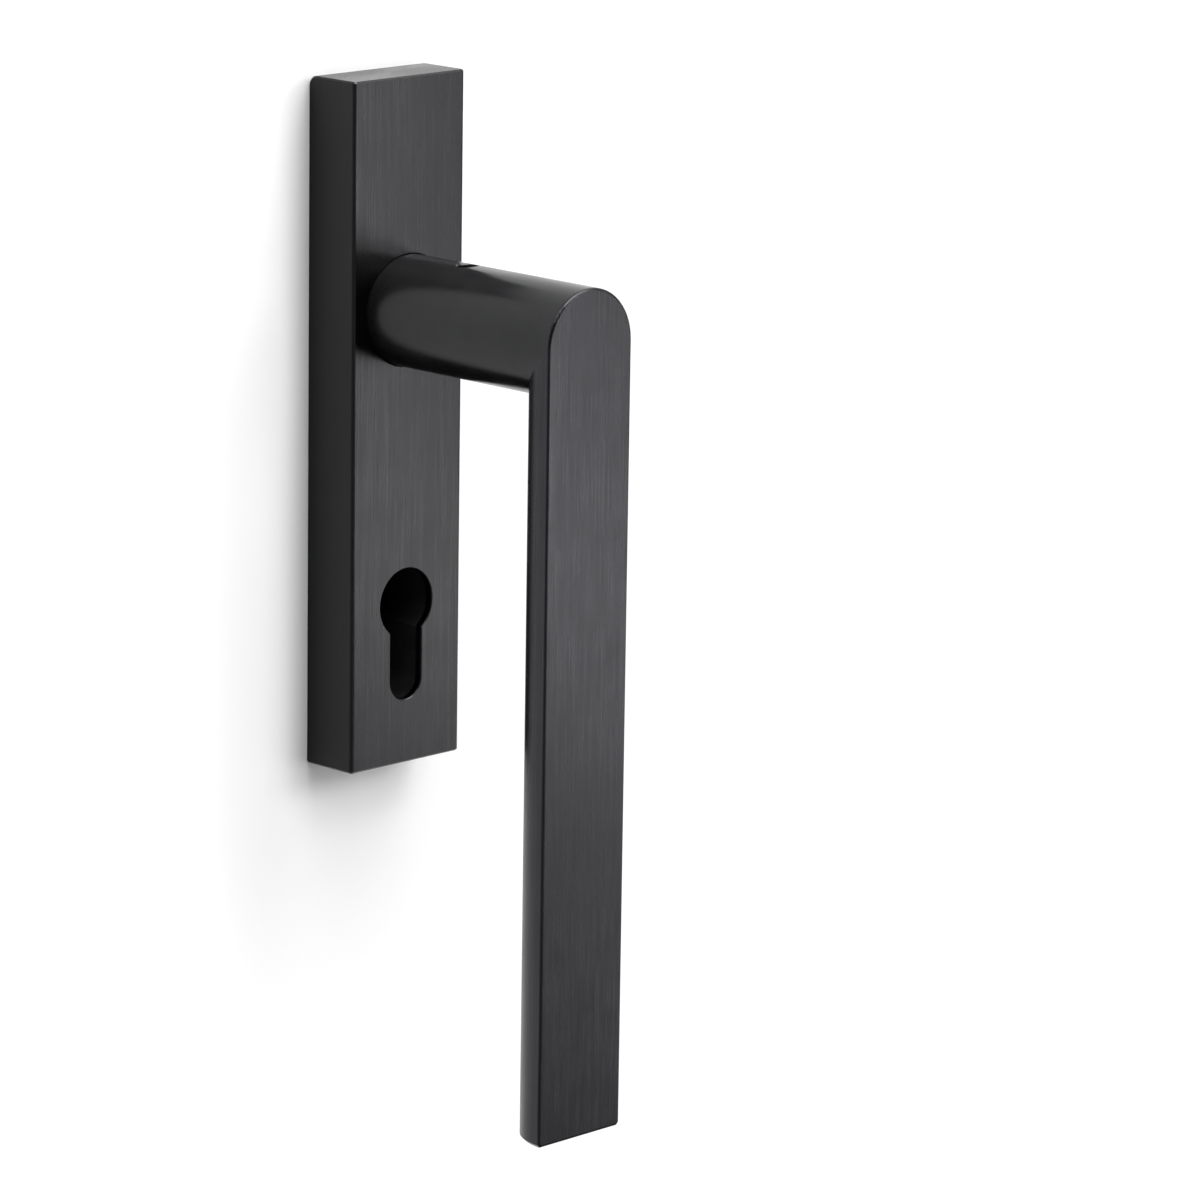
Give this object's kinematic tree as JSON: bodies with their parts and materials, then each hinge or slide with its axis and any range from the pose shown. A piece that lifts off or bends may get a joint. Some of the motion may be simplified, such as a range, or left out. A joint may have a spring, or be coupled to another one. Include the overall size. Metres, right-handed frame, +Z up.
{
  "type": "lift and slide door handle",
  "caption": "Straight lift and slide door handle: a half-round grip with a flat front on a round neck, turning on a slim back plate with a profile cylinder cut-out.",
  "frame": {"origin": "where the spindle's axis meets the face of the door, in the plane of the back plate's rear", "axes": "+Z up along the plate, +Y into the door along the spindle, +X to the right as seen by the user"},
  "size_m": [0.037, 0.1406, 0.256],
  "materials": {
    "brushed_metal": "brushed lengthwise and anodised dark grey, satin",
    "cast_zinc": "as cast, black coated, matt",
    "steel": "zinc plated",
    "nylon": "moulded, matt"
  },
  "bodies": {
    "base": {"cover_plate": "brushed_metal", "carrier": "cast_zinc", "detent_spring_left": "steel", "detent_spring_right": "steel", "lid": "steel", "fixing_screw_lower": "steel", "fixing_screw_upper": "steel", "cover_screw": "steel", "lid_screw_1": "steel", "lid_screw_2": "steel", "lid_screw_3": "steel", "lid_screw_4": "steel", "slide_ring": "nylon", "bearing_bush": "nylon"},
    "turning": {"lever": "brushed_metal", "spindle": "steel", "lever_screw": "steel", "detent_disc": "steel", "thrust_washer": "steel", "retaining_clip": "steel"}
  },
  "joints": [
    {"name": "lever_turn", "type": "hinge", "parent": "base", "child": "turning", "pos_m": [0, 0, 0], "axis": [0, -1, 0], "range_deg": [0, 180], "deforming": ["detent_spring_left", "detent_spring_right"]}
  ]
}
